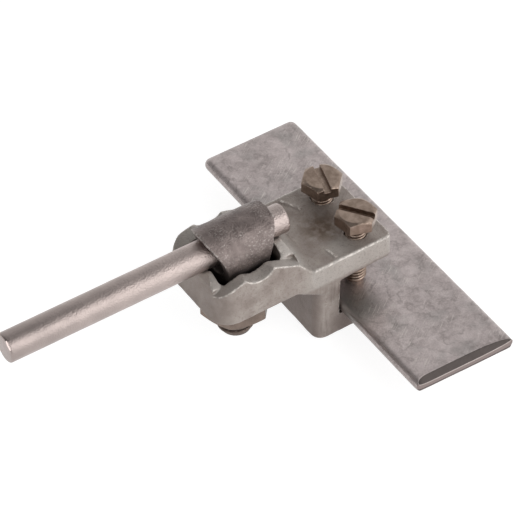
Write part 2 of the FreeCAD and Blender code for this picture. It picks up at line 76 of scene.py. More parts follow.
WELD = 0.0005 * MM  # points nearer than this are merged
FLAT = math.radians(0.4)  # triangles that meet at less than this make one flat face
SHARP = math.radians(28)  # edges that turn by more than this are bevelled
THREAD_STEPS = 48  # steps in one turn of a thread
ROD_STEPS = 64  # steps round the round conductor
FACET_WAY = (-0.593, -0.503, 0.629)  # where the facet on the round conductor's sawn end faces


# ---------------------------------------------------------------- sizes and colours


def linear(code):
    """An sRGB hex colour such as 9a9c96 as linear red, green, blue and alpha."""
    parts = [int(code[i : i + 2], 16) / 255 for i in (0, 2, 4)]
    return [p / 12.92 if p <= 0.04045 else ((p + 0.055) / 1.055) ** 2.4 for p in parts] + [1.0]


def length(name, description, millimetres):
    """A length that a user can change, given in millimetres and kept in metres."""
    return bpy.props.FloatProperty(
        name=name, description=description, default=millimetres * MM, unit="LENGTH", precision=5
    )


def colour(name, description, code):
    """A colour that a user can change, given as sRGB hex."""
    return bpy.props.FloatVectorProperty(
        name=name, description=description, default=linear(code), size=4, subtype="COLOR", min=0, max=1
    )


class ClampSizes(bpy.types.PropertyGroup):
    """Sizes of the dressed pieces that the CAD frame doesn't give."""

    casting_grid: length("Casting grid", "Mesh spacing of the galvanised casting", 0.29)
    casting_chips: length("Casting chips", "How deep the casting's corners are chipped", 0.14)
    casting_swell: length("Casting swell", "How far the cast skin wanders from true", 0.07)
    rib_foot: length("Rib foot", "Height above which the plate's ribs are rubbed bright", 27.5)
    eye_grid: length("Eye grid", "Mesh spacing of the forged eye", 0.26)
    eye_swell: length("Eye swell", "How far the forged skin wanders from true", 0.06)
    strip_grid: length("Strip grid", "Mesh spacing of the flat conductor", 0.33)
    strip_swell: length("Strip swell", "How far the zinc on the strip wanders from true", 0.035)
    cut_roll: length("Cut roll", "Radius that the CAD's near end is rolled over with", 1.8)
    cut_slope: length("Cut slope", "How far the sheared end's dark slope reaches back along the strip", 1.75)
    cut_drop: length("Cut drop", "How far that slope comes down from the strip's top", 1.5)
    cut_skew: length("Cut skew", "How much further the sheared end reaches at its right side", 0.8)
    rod_swell: length("Rod swell", "How far the drawn rod wanders from true", 0.022)
    rod_facet: length("Rod facet", "How deep the facet on the sawn end's rim is cut", 0.2)
    stud_pitch: length("Stud pitch", "Pitch of the eye bolt's M10 thread", 1.5)
    stud_cut: length("Stud cut height", "Height at which the forged shank gives way to the thread", 21.6)
    stud_radius: length("Stud radius", "Crest radius of the M10 thread", 4.97)
    screw_pitch: length("Screw pitch", "Pitch of the clamping screws' M6 thread", 1.0)
    screw_radius: length("Screw radius", "Crest radius of the M6 thread", 2.95)
    screw_head: length("Screw head height", "Height of the hexagon head", 3.65)
    edge_break: length("Edge break", "Width of the small bevel on machined edges", 0.12)


class ClampColours(bpy.types.PropertyGroup):
    """Colours of the clamp's finishes."""

    zinc_light: colour("Zinc, light", "Pale zinc skin of the casting", "b5aba4")
    zinc_dark: colour("Zinc, dark", "Weathered zinc skin of the casting", "968a83")
    # also used for painted glints on the forged eye
    zinc_worn_and_glint: colour("Zinc, worn", "Zinc rubbed bright along edges and in scratches", "e6dfd8")
    # painted light: this paler zinc stands in for light on faces that catch the lamp
    zinc_painted_light: colour("Zinc, fresh", "Zinc that ran together on the plate's upright sides", "d2cdc7")
    # painted shade: this near black stands in for the shade deep in the pocket
    pocket_painted_shade: colour("Pocket, dark", "Old grease on the pocket's walls under the eye", "2a2420")
    # also used for painted shade low on the casting
    zinc_dirt_and_shade: colour("Zinc, dirty", "Dirt in the pits of the zinc", "70625c")
    forging_light: colour("Forging, light", "Rubbed skin of the forged eye", "8f837f")
    forging_dark: colour("Forging, dark", "Dull skin of the forged eye", "6e6360")
    strip_light: colour("Strip, light", "Bright spangle of the galvanised strip", "dbcfcd")
    strip_dark: colour("Strip, dark", "Dull spangle of the galvanised strip", "aa9f9d")
    # also used for a painted reflection of the casting, in shade, on the strip beside the front screw
    strip_bare_and_reflection: colour("Strip, bare", "Patches of the strip with less zinc", "a4a29f")
    strip_cut: colour("Strip, cut", "Dark slope of the strip's sheared end", "4a4442")
    # also used for painted shade on the strip's round sides
    strip_vein_and_shade: colour("Strip, vein", "Fine dark lines in the strip's zinc, and its sides", "756c69")
    strip_lip: colour("Strip, lip", "Bare steel under that slope", "8e807d")
    rod_metal: colour("Rod", "Drawn round conductor", "bfb1ac")
    # also used for painted shade on the rod away from the clamp
    rod_dull_and_shade: colour("Rod, dull", "Drawn round conductor where it is less clean", "a39793")
    nut_metal: colour("Nut", "Hexagon nut", "817269")
    screw_metal: colour("Screw", "Clamping screws", "ab988b")
    # also used for a painted shadow between the screws on the casting
    screw_dark_and_shade: colour("Screw, dark", "Tarnish in the screws' hollows, and grease on the threads", "6b5a4c")
    floor_white: colour("Floor", "Paper that the clamp lies on", "ffffff")


def shade(colour_value, share):
    """A share of a colour's light."""
    return [part * share for part in list(colour_value)[:3]] + [1.0]


# ---------------------------------------------------------------- mesh helpers


def held(value):
    """A number held between 0 and 1."""
    return min(max(value, 0.0), 1.0)


def merged_copy(node):
    """A bmesh copy of a CAD node with its loose triangles merged and its normals outward."""
    bm = bmesh.new()
    bm.from_mesh(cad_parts[node].data)
    bmesh.ops.remove_doubles(bm, verts=bm.verts, dist=WELD)
    bmesh.ops.recalc_face_normals(bm, faces=bm.faces)
    return bm


def new_piece(name, bm):
    """A mesh object at the origin from a bmesh, smooth shaded."""
    mesh = bpy.data.meshes.new(name)
    for face in bm.faces:
        face.smooth = True
    bm.to_mesh(mesh)
    bm.free()
    piece = bpy.data.objects.new(name, mesh)
    bpy.context.scene.collection.objects.link(piece)
    return piece


def apply_modifiers(piece):
    """The piece's modifiers become part of its mesh."""
    bpy.context.view_layer.update()
    graph = bpy.context.evaluated_depsgraph_get()
    done = bpy.data.meshes.new_from_object(piece.evaluated_get(graph))
    piece.modifiers.clear()
    old = piece.data
    piece.data = done
    bpy.data.meshes.remove(old)


def even_skin(name, bm, grid, rounds):
    """A piece with an even skin of small quads, its corners softened as casting and zinc leave them."""
    piece = new_piece(name, bm)
    skin = piece.modifiers.new("Even skin", "REMESH")
    skin.mode = "VOXEL"
    skin.voxel_size = grid
    skin.use_smooth_shade = True
    soft = piece.modifiers.new("Soft corners", "SMOOTH")
    soft.factor = 0.5
    soft.iterations = rounds
    apply_modifiers(piece)
    return piece


def wander(piece, swell, scales, seed):
    """Moves the skin in and out by smooth noise, from pairs of a scale in millimetres and its share."""
    bm = bmesh.new()
    bm.from_mesh(piece.data)
    bm.normal_update()
    shift = Vector((seed, 2 * seed, 3 * seed))
    moves = []
    for vert in bm.verts:
        total = sum(share * noise.noise(vert.co / (scale * MM) + shift) for scale, share in scales)
        moves.append(vert.normal * total * swell)
    for vert, move in zip(bm.verts, moves):
        vert.co += move
    bm.to_mesh(piece.data)
    bm.free()


def mark_wear(piece, grid, rounds):
    """Writes how far each point stands proud of its neighbours, and less of it on faces that look down."""
    kept, taken = 0.4, 0.6  # how much of its own and of its neighbours' wear a point has after a round
    bm = bmesh.new()
    bm.from_mesh(piece.data)
    bm.normal_update()
    near = [[edge.other_vert(vert).index for edge in vert.link_edges] for vert in bm.verts]
    places = [vert.co.copy() for vert in bm.verts]
    proud = []
    for vert, others in zip(bm.verts, near):
        middle = sum((places[i] for i in others), Vector()) / max(len(others), 1)
        touched = held((vert.normal.z + 0.6) / 0.8)  # 0 where the skin faces well down, 1 above level
        proud.append((vert.co - middle).dot(vert.normal) / grid * touched)
    for _ in range(rounds):
        proud = [kept * own + taken * sum(proud[i] for i in others) / max(len(others), 1)
                 for own, others in zip(proud, near)]
    bm.free()
    piece.data.attributes.new(WEAR, "FLOAT", "POINT").data.foreach_set("value", proud)


def mark_facing(piece):
    """Writes how far each point faces up, from -1 to 1."""
    facing = [vert.normal.z for vert in piece.data.vertices]
    piece.data.attributes.new(FACING, "FLOAT", "POINT").data.foreach_set("value", facing)


def rub_ribs(piece, sizes):
    """Marks the two low ribs on the plate's top as rubbed bright."""
    back, aside = -9 * MM, 5 * MM  # the ribs lie between this X and 0, and further than this from the middle
    bright = 0.1  # the wear that the casting's material shows at its brightest
    wear = piece.data.attributes[WEAR].data
    for index, vert in enumerate(piece.data.vertices):
        if vert.co.z > sizes.rib_foot and back < vert.co.x < 0 and abs(vert.co.y) > aside:
            wear[index].value = bright


def chip(piece, depth, size, seed):
    """Chips the corners that mark_wear found, with bites of about the given size."""
    least, full = 0.03, 0.08  # the wear at which chips begin, and at which they are at their deepest
    raised = 0.1  # lifts the noise, so that a little more than half of each corner is chipped
    wear = [item.value for item in piece.data.attributes[WEAR].data]
    outward = [vert.normal.copy() for vert in piece.data.vertices]
    shift = Vector((seed, seed, seed))
    for vert, normal, share in zip(piece.data.vertices, outward, wear):
        if share > least:
            bite = max(noise.noise(vert.co / size + shift) + raised, 0.0) * min(share / full, 1.0)
            vert.co -= normal * depth * bite


def shear_end(piece, sizes):
    """Gives the strip's near end what shears leave: a steep slope over a lip, which dies out sideways."""
    low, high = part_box("flat_conductor")
    thick, wide = high.z - low.z, high.x - low.x
    roll = sizes.cut_roll
    left_gap, left_run = 0.6 * MM, 4.0 * MM  # the slope starts this far in, and is full after this run
    right_gap, right_run = 0.5 * MM, 13.0 * MM
    skew_reach = 14 * MM  # how far back along the strip the end's skew is felt
    least = 0.02  # the slope never quite dies out, because its length is a divisor
    marks = []
    for vert in piece.data.vertices:
        back = max(vert.co.y - low.y, 0.0)
        left = held((vert.co.x - low.x - left_gap) / left_run)
        right = held((high.x - right_gap - vert.co.x) / right_run)
        share = max(math.prod(math.sqrt(1 - (1 - reach) ** 2) for reach in (left, right)), least)
        slope, lip = sizes.cut_slope * share, thick - sizes.cut_drop * math.sqrt(share)
        if back < max(roll, sizes.cut_slope):
            # from the CAD's rolled top to the slope, but no higher than the strip's round side edges
            was = thick - roll + math.sqrt(roll * roll - max(roll - back, 0.0) ** 2)
            now = min(thick, lip + (thick - lip) * back / slope)
            inside = min(vert.co.x - low.x, high.x - vert.co.x, thick / 2)
            edge = thick / 2 + math.sqrt(max(thick * inside - inside * inside, 0.0))
            vert.co.z = low.z + min((vert.co.z - low.z) * now / was, edge)
        # for the material: millimetres back, millimetres short of the slope's top, and height over the lip's
        marks.extend((back / MM, (slope - back) / MM, (vert.co.z - low.z) / lip))
        turn = max(1 - back / skew_reach, 0.0)
        vert.co.y -= sizes.cut_skew * turn * turn * (vert.co.x - low.x) / wide
    piece.data.attributes.new(CUT, "FLOAT_VECTOR", "POINT").data.foreach_set("vector", marks)


def cut_below(bm, point, way):
    """Cuts away what lies below a plane that faces a way, and closes the cut with new faces."""
    everything = [*bm.verts, *bm.edges, *bm.faces]
    bmesh.ops.bisect_plane(bm, geom=everything, plane_co=point, plane_no=way, clear_inner=True)
    return bmesh.ops.holes_fill(bm, edges=[edge for edge in bm.edges if edge.is_boundary])["faces"]


def saw_facet(bm, way, depth):
    """Cuts a small flat facet where a piece reaches furthest in a direction, with sharp edges."""
    way = Vector(way).normalized()
    reach = max(vert.co.dot(way) for vert in bm.verts) - depth
    for face in cut_below(bm, way * reach, -way):
        for edge in face.edges:
            edge.smooth = False


def spun(bm, profile, centre, steps):
    """Turns radius and height pairs that start and end on an upright line into a closed shape about it."""
    verts = [bm.verts.new(Vector((centre[0] + radius, centre[1], height))) for radius, height in profile]
    edges = [bm.edges.new(pair) for pair in zip(verts, verts[1:])]
    bmesh.ops.spin(
        bm, geom=verts + edges, cent=(centre[0], centre[1], 0), axis=(0, 0, 1),
        angle=2 * math.pi, steps=steps, use_merge=True,
    )
    bmesh.ops.remove_doubles(bm, verts=bm.verts, dist=WELD)


def add_thread(target, centre, low, high, crest, pitch):
    """Adds a right-hand ISO thread about an upright line: a core, and a ridge that runs out at both ends."""
    root = crest - 0.6134 * pitch  # the depth of an ISO external thread
    sunk = 0.15 * pitch  # how far the ridge's foot lies inside the core
    tip = 0.6 * pitch  # height of the core's pointed end
    start, end = low + 0.75 * pitch, high - 0.2 * pitch
    foot = 0.375 * pitch + sunk * math.tan(math.radians(30))  # half the ridge's width at its sunk foot
    flat = pitch / 16  # half the width of the ridge's flat crest
    bm = bmesh.new()
    core = [(0, low), (root - tip * 0.5, low), (root, low + tip * 0.5), (root, high), (0, high)]
    spun(bm, core, centre, THREAD_STEPS)
    section = [
        bm.verts.new(Vector((centre[0] + radius, centre[1], start + rise)))
        for radius, rise in ((root - sunk, -foot), (crest, -flat), (crest, flat), (root - sunk, foot))
    ]
    face = bm.faces.new(section)
    turns = (end - start) / pitch
    steps = max(round(turns * THREAD_STEPS), 1)
    known = set(bm.verts) - set(section)
    bmesh.ops.spin(
        bm, geom=[face, *face.edges, *section], cent=(centre[0], centre[1], 0), axis=(0, 0, 1),
        dvec=(0, 0, (end - start) / steps), angle=2 * math.pi * turns, steps=steps, use_merge=False,
    )
    # within about a pitch of each end the ridge sinks into the core
    least = root - sunk * 0.5
    for vert in bm.verts:
        if vert in known:
            continue
        out = Vector((vert.co.x - centre[0], vert.co.y - centre[1]))
        keep = held(min(vert.co.z - low, high - vert.co.z) / pitch - 0.1)
        radius = min(out.length, least + (crest - least) * keep)
        vert.co.x = centre[0] + out.x * radius / out.length
        vert.co.y = centre[1] + out.y * radius / out.length
    bmesh.ops.recalc_face_normals(bm, faces=bm.faces)
    turned = bpy.data.meshes.new("thread")
    bm.to_mesh(turned)
    bm.free()
    target.from_mesh(turned)
    bpy.data.meshes.remove(turned)


def break_edges(bm, width):
    """A small bevel on the edges of a machined piece, after its flat triangles are joined."""
    bmesh.ops.dissolve_limit(bm, angle_limit=FLAT, verts=bm.verts, edges=bm.edges)
    sharp = [edge for edge in bm.edges if len(edge.link_faces) == 2 and edge.calc_face_angle() > SHARP]
    bmesh.ops.bevel(
        bm, geom=sharp, offset=width, offset_type="OFFSET", segments=2, profile=0.5,
        affect="EDGES", clamp_overlap=False, material=-1,
    )


def keep_flats(piece):
    """Flat faces keep their own normals beside small bevels."""
    even = piece.modifiers.new("Flat faces", "WEIGHTED_NORMAL")
    even.keep_sharp = True


def settle(piece, body, node, material):
    """Gives a finished piece its material and body, and hides its CAD node."""
    piece.data.materials.clear()
    piece.data.materials.append(material)
    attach(piece, body)
    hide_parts(node)


# ---------------------------------------------------------------- materials


def add(tree, kind, inputs=(), **settings):
    """Adds a node, sets it up, and fills its inputs, by name or in order, with values or other nodes."""
    node = tree.nodes.new("ShaderNode" + kind)
    for key, value in settings.items():
        setattr(node, key, value)
    if isinstance(inputs, dict):
        pairs = [(node.inputs[key], value) for key, value in inputs.items()]
    else:
        pairs = zip([socket for socket in node.inputs if socket.enabled], inputs)
    for socket, value in pairs:
        if isinstance(value, bpy.types.Node):
            value = next(output for output in value.outputs if output.enabled)
        if isinstance(value, bpy.types.NodeSocket):
            tree.links.new(value, socket)
        else:
            socket.default_value = value
    return node


def cleared(owner):
    """The node tree of a material or a world, with nothing in it yet."""
    owner.use_nodes = True
    owner.node_tree.nodes.clear()
    return owner.node_tree


def new_material(name):
    """An empty material, its nodes, and the piece's place in millimetres."""
    material = bpy.data.materials.new(name)
    tree = cleared(material)
    place = add(tree, "TexCoord").outputs["Object"]
    return material, tree, add(tree, "Mapping", {"Vector": place, "Scale": (1 / MM,) * 3})


def finish(tree, surface):
    """Ends a material's nodes in a principled surface with the given inputs."""
    add(tree, "OutputMaterial", {"Surface": add(tree, "BsdfPrincipled", surface)})


def spots(tree, place, size, low=0.35, high=0.65, detail=3.0, swirl=0.0, full=1.0):
    """Soft spots of a size in millimetres, which grow from 0 to full between two levels of a noise."""
    inputs = {"Vector": place, "Scale": 1 / size, "Detail": detail, "Distortion": swirl}
    return add(tree, "MapRange", [add(tree, "TexNoise", inputs), low, high, 0.0, full])


def paint(tree, skin, coat, *shares):
    """Lays a coat of colour over the skin, as far as all the shares together let it."""
    share = shares[0]
    for other in shares[1:]:
        share = add(tree, "Math", [share, other], operation="MULTIPLY")
    return add(tree, "Mix", [share, skin, coat], data_type="RGBA")


# In the materials a MapRange turns a place, in millimetres, or another measure into a share: it gives
# 0 at the first number and 1 at the second, or else the third and fourth numbers there.


def galvanised_casting(colours):
    """Malleable iron, sand cast and hot-dip galvanised.

    It looks dull, warm grey and grainy, with dirty pits and corners that are rubbed bright.
    """
    material, tree, place = new_material("Hot-dip galvanised sand-cast iron")
    where = add(tree, "SeparateXYZ", [place]).outputs
    # zinc weathered in patches of 4 mm
    skin = paint(tree, colours.zinc_dark, colours.zinc_light, spots(tree, place, 4.0, 0.3, 0.7, 5.0))
    # painted light: the plate's two upright sides are painted paler
    skin = paint(
        tree, skin, colours.zinc_painted_light,
        add(tree, "MapRange", [add(tree, "Math", [where["Y"]], operation="ABSOLUTE"), 13.2, 13.8]),
        add(tree, "MapRange", [where["Z"], 20.6, 21.6]),
        add(tree, "MapRange", [where["X"], -17.0, -12.0, 0.0, 0.65]),
    )
    # painted light: the ring's upper faces are painted paler than the plate's, and so is a spot beside the
    # front screw
    facing = add(tree, "Attribute", attribute_name=FACING).outputs["Fac"]
    skin = paint(
        tree, skin, colours.zinc_painted_light,
        add(tree, "MapRange", [facing, 0.2, 0.7, 0.0, 0.6]),
        add(tree, "MapRange", [where["X"], -11.0, -15.0]),
    )
    off = add(tree, "VectorMath", [place, (-1.7, -10.5, 27.2)], operation="DISTANCE")
    skin = paint(tree, skin, colours.zinc_painted_light, add(tree, "MapRange", [off, 6.0, 2.0, 0.0, 0.5]))
    # grime in pits of 0.8 mm and specks of 0.34 mm, as sand leaves them
    pits = spots(tree, place, 0.8, 0.54, 0.7, 5.0, full=0.4)
    specks = spots(tree, place, 0.34, 0.56, 0.68, 2.0, full=0.35)
    # streaks, 0.9 mm wide and ten times as long, that run down the sides
    drawn = add(tree, "Mapping", {"Vector": place, "Scale": (1, 1, 0.1)})
    streaks = add(tree, "Math", [
        spots(tree, drawn, 0.9, 0.4, 0.65, 4.0),
        add(tree, "MapRange", [where["Z"], 21.0, 18.0, 0.08, 0.55]),
    ], operation="MULTIPLY")
    # painted shade low down at the foot and down the spine's back, and darker round the ring's far end
    foot = add(tree, "Math", [
        add(tree, "MapRange", [where["X"], -10.0, -3.5, 0.0, 0.85]),
        add(tree, "MapRange", [where["Z"], 16.0, 6.5]),
    ], operation="MULTIPLY")
    spine = add(tree, "Math", [
        add(tree, "MapRange", [where["X"], -9.2, -11.4, 0.0, 0.75]),
        add(tree, "MapRange", [where["Z"], 19.0, 17.0]),
    ], operation="MULTIPLY")
    dirt_and_shade = add(tree, "MapRange", [where["X"], -34.0, -42.0, 0.0, 0.45])
    for other in (pits, specks, streaks, foot, spine):
        dirt_and_shade = add(tree, "Math", [dirt_and_shade, other], operation="MAXIMUM")
    skin = paint(tree, skin, colours.zinc_dirt_and_shade, dirt_and_shade)
    # brown stain, with painted shadow and reflection of the screws, between the screws
    off = add(tree, "VectorMath", [place, (-2.1, -1.6, 27.2)], operation="DISTANCE")
    skin = paint(
        tree, skin, colours.screw_dark_and_shade,
        add(tree, "MapRange", [off, 8.0, 2.0, 0.0, 0.9]),
        spots(tree, place, 2.5, 0.3, 0.55, 4.0),
    )
    # painted shade on the pocket's walls, deep in the recess under the eye, measured from the pocket's
    # middle
    away = add(tree, "VectorMath", [place, (-28.0, 0.0, 0.0)], operation="SUBTRACT")
    reach = add(tree, "SeparateXYZ", [add(tree, "VectorMath", [away], operation="ABSOLUTE")]).outputs
    skin = paint(
        tree, skin, colours.pocket_painted_shade,
        add(tree, "MapRange", [reach["X"], 10.4, 9.8]),
        add(tree, "MapRange", [reach["Y"], 9.8, 9.2]),
        add(tree, "MapRange", [reach["Z"], 30.5, 27.5]),
    )
    # corners rubbed bright, broken up in spots of 0.8 mm, and less so at the plate's right edge
    wear = add(tree, "Attribute", attribute_name=WEAR).outputs["Fac"]
    skin = paint(
        tree, skin, colours.zinc_worn_and_glint,
        add(tree, "MapRange", [wear, 0.042, 0.09]),
        spots(tree, place, 0.8, 0.42, 0.6),
        add(tree, "MapRange", [where["X"], 12.0, 14.0, 0.95, 0.3]),
    )
    # sand grain of 0.42 mm, where foundry sand has 0.2 to 0.4 mm: a little coarser, so that it shows
    grain = spots(tree, place, 0.42, 0.25, 0.75, 2.0)
    finish(tree, {
        "Base Color": skin,
        "Metallic": 0.5,  # weathered zinc lies half under its dull salts
        "Roughness": add(tree, "MapRange", [grain, 0.0, 1.0, 0.44, 0.58]),
        "Normal": add(tree, "Bump", {"Height": grain, "Distance": 0.08 * MM, "Strength": 0.8}),
    })
    return material


def galvanised_forging(colours):
    """Drop-forged steel, hot-dip galvanised and dulled.

    It looks purple grey, with a coarse grain that glints.
    """
    material, tree, place = new_material("Hot-dip galvanised forged steel")
    skin = paint(tree, colours.forging_dark, colours.forging_light, spots(tree, place, 3.0, 0.3, 0.7, 4.0))
    # painted glints: bright specks of 0.45 mm, in patches of 5 mm
    skin = paint(
        tree, skin, colours.zinc_worn_and_glint,
        spots(tree, place, 0.45, 0.52, 0.72, 3.0, full=0.35),
        spots(tree, place, 5.0, 0.4, 0.6, 2.0),
    )
    # corners rubbed paler, broken up in spots of 0.9 mm
    wear = add(tree, "Attribute", attribute_name=WEAR).outputs["Fac"]
    skin = paint(
        tree, skin, colours.zinc_worn_and_glint,
        add(tree, "MapRange", [wear, 0.04, 0.1, 0.0, 0.5]),
        spots(tree, place, 0.9, 0.42, 0.6),
    )
    # the threaded stud under the casting is painted darker
    height = add(tree, "SeparateXYZ", [place]).outputs["Z"]
    skin = paint(tree, skin, colours.screw_dark_and_shade, add(tree, "MapRange", [height, 16.0, 15.0, 0.0, 0.45]))
    # forging scale under the zinc, in lumps of 0.5 mm
    grain = spots(tree, place, 0.5, 0.25, 0.75, 3.0)
    finish(tree, {
        "Base Color": skin,
        "Metallic": 0.8,
        "Roughness": add(tree, "MapRange", [grain, 0.0, 1.0, 0.34, 0.52]),
        "Normal": add(tree, "Bump", {"Height": grain, "Distance": 0.12 * MM, "Strength": 0.9}),
    })
    return material


def galvanised_strip(colours):
    """Rolled steel strip, hot-dip galvanised.

    It looks pinkish grey, wispy and finely scratched, with a dark sheared end.
    """
    material, tree, place = new_material("Hot-dip galvanised rolled steel")
    # the zinc's crystals: wisps of 2.4 mm, clouds of 11 mm and feathering of 0.5 mm
    wisps = spots(tree, place, 2.4, 0.34, 0.66, 9.0, 0.7)
    clouds = spots(tree, place, 11.0, full=0.3)
    fine = spots(tree, place, 0.5, detail=4.0, swirl=0.5, full=0.3)
    share = add(tree, "Math", [wisps, 0.4, clouds], operation="MULTIPLY_ADD")
    share = add(tree, "Math", [share, fine], operation="ADD")
    skin = paint(tree, colours.strip_dark, colours.strip_light, share)
    # patches with less zinc, and beside the front screw a painted reflection of the casting above, darkened
    # as painted shade
    off = add(tree, "VectorMath", [place, (-1.5, -17.0, 10.5)], operation="DISTANCE")
    bare = add(tree, "Math", [
        spots(tree, place, 8.0, 0.5, 0.66, 5.0, full=0.4),
        add(tree, "MapRange", [off, 8.0, 3.0, 0.0, 0.85]),
    ], operation="MAXIMUM")
    skin = paint(tree, skin, colours.strip_bare_and_reflection, bare)
    # fine dark lines, broken up, where the zinc's crystals meet
    level = add(tree, "Math", [spots(tree, place, 5.0, 0.0, 1.0, 7.0), 0.5], operation="SUBTRACT")
    level = add(tree, "Math", [level], operation="ABSOLUTE")
    skin = paint(
        tree, skin, colours.strip_vein_and_shade,
        add(tree, "MapRange", [level, 0.0, 0.045, 0.4, 0.0]),
        spots(tree, place, 3.0, 0.4, 0.6),
    )
    # painted shade: the round sides are painted darker than the rolled faces, and the far end is darker too
    facing = add(tree, "Attribute", attribute_name=FACING).outputs["Fac"]
    far = add(tree, "SeparateXYZ", [place]).outputs["Y"]
    sides = add(tree, "Math", [
        add(tree, "MapRange", [facing, 0.7, 0.2, 0.0, 0.5]),
        add(tree, "MapRange", [far, 51.9, 52.6, 0.0, 0.7]),
    ], operation="MAXIMUM")
    skin = paint(tree, skin, colours.strip_vein_and_shade, sides)
    # scratches at 35 degrees to the strip's width, in patches of 9 mm: real ones are under 0.1 mm
    # wide, and these are drawn 0.3 mm wide so that they show
    turned = add(tree, "Mapping", {"Vector": place, "Rotation": (0, 0, math.radians(-35))})
    drawn = add(tree, "Mapping", {"Vector": turned, "Scale": (0.07, 1, 1)})
    skin = paint(
        tree, skin, colours.zinc_worn_and_glint,
        spots(tree, drawn, 0.3, 0.57, 0.71, 1.0, full=0.65),
        spots(tree, place, 9.0, 0.45, 0.6, 2.0),
    )
    # the sheared end's dark slope
    cut = add(tree, "Attribute", attribute_name=CUT).outputs["Vector"]
    back, slope, rise = add(tree, "SeparateXYZ", [cut]).outputs
    skin = paint(
        tree, skin, colours.strip_cut,
        add(tree, "MapRange", [slope, 0.0, 0.15]),
        add(tree, "MapRange", [rise, 1.0, 1.06]),
    )
    # the lip under it, with a dark line where the steel tore and a bright upper corner
    face = paint(
        tree, colours.strip_lip, colours.strip_cut,
        add(tree, "MapRange", [rise, 0.18, 0.26]),
        add(tree, "MapRange", [rise, 0.4, 0.34]),
    )
    face = paint(tree, face, colours.zinc_worn_and_glint, add(tree, "MapRange", [rise, 0.91, 0.96, 0.0, 0.35]))
    skin = paint(
        tree, skin, face,
        add(tree, "MapRange", [back, 0.25, 0.1]),
        add(tree, "MapRange", [rise, 1.03, 0.98]),
    )
    # zinc frozen as it drained, in shallow waves of 0.6 mm
    grain = spots(tree, place, 0.6, 0.3, 0.7, 4.0)
    finish(tree, {
        "Base Color": skin,
        "Metallic": 0.9,
        "Roughness": add(tree, "MapRange", [wisps, 0.0, 1.0, 0.42, 0.34]),
        "Normal": add(tree, "Bump", {"Height": grain, "Distance": 0.03 * MM, "Strength": 0.6}),
    })
    return material


def drawn_rod(colours):
    """Round aluminium wire, drawn and left bare.

    It looks satin, with a sparkling orange peel, and is rougher towards the clamp, where painted light also
    makes it brighter.
    """
    material, tree, place = new_material("Drawn bare aluminium")
    along = add(tree, "SeparateXYZ", [place]).outputs["X"]
    # painted light: the rod is painted darker away from the clamp, as the lamp's highlight fades along it
    tone_and_light = add(tree, "Math", [
        spots(tree, place, 5.0, full=0.35),
        add(tree, "MapRange", [along, -45.0, -90.0, 0.0, 0.65]),
    ], operation="ADD")
    # the facet on the sawn end's rim is smooth
    off = add(tree, "VectorMath", [place, (-94.8, -2.4, 38.6)], operation="DISTANCE")
    dull = add(tree, "Math", [
        add(tree, "MapRange", [off, 1.4, 1.7]),
        add(tree, "MapRange", [along, -94.6, -94.4]),
    ], operation="MAXIMUM")
    # orange peel: real drawn wire has grains of about 0.1 mm, drawn here at 0.45 mm so that they show
    peel = spots(tree, place, 0.45, 0.3, 0.7)
    roughness = add(tree, "Math", [
        add(tree, "MapRange", [peel, 0.0, 1.0, 0.3, 0.4]),
        add(tree, "MapRange", [dull, 0.0, 1.0, 0.35, 1.0]),
    ], operation="MULTIPLY")
    strength = add(tree, "Math", [
        add(tree, "MapRange", [along, -45.0, -90.0, 1.0, 0.45]),
        add(tree, "MapRange", [dull, 0.0, 1.0, 0.1, 1.0]),
    ], operation="MULTIPLY")
    finish(tree, {
        "Base Color": paint(tree, colours.rod_metal, colours.rod_dull_and_shade, tone_and_light),
        "Metallic": 1.0,
        "Roughness": roughness,
        "Normal": add(tree, "Bump", {"Height": peel, "Distance": 0.085 * MM, "Strength": strength}),
    })
    return material


def stainless_nut(colours):
    """Stainless steel bar, cut off, turned and tapped.

    It looks warm and fairly smooth, with faint upright lines that the bar was drawn with.
    """
    material, tree, place = new_material("Turned stainless steel")
    # real lines are under 0.05 mm wide, and these are drawn 0.25 mm wide so that they show
    lines = add(tree, "Mapping", {"Vector": place, "Scale": (1, 1, 0.08)})
    drawn = spots(tree, lines, 0.25, 0.3, 0.7, 1.0)
    finish(tree, {
        "Base Color": paint(tree, shade(colours.nut_metal, 0.8), colours.nut_metal, spots(tree, place, 2.5)),
        "Metallic": 1.0,
        "Roughness": add(tree, "MapRange", [drawn, 0.0, 1.0, 0.26, 0.4]),
        "Normal": add(tree, "Bump", {"Height": drawn, "Distance": 0.02 * MM, "Strength": 0.4}),
    })
    return material


def tarnished_screw(colours):
    """Cold-headed stainless screw, tarnished.

    It looks warm brown and smooth, with darker blotches.
    """
    material, tree, place = new_material("Cold-headed tarnished stainless steel")
    blotches = spots(tree, place, 1.6, full=0.5)
    # the tarnish's grain, finer than 0.1 mm on a real screw, is drawn at 0.4 mm so that it shows
    grain = spots(tree, place, 0.4, 0.3, 0.7, 2.0)
    finish(tree, {
        "Base Color": paint(tree, colours.screw_metal, colours.screw_dark_and_shade, blotches),
        "Metallic": 1.0,
        "Roughness": add(tree, "MapRange", [grain, 0.0, 1.0, 0.3, 0.42]),
        "Normal": add(tree, "Bump", {"Height": grain, "Distance": 0.03 * MM, "Strength": 0.4}),
    })
    return material


# ---------------------------------------------------------------- studio


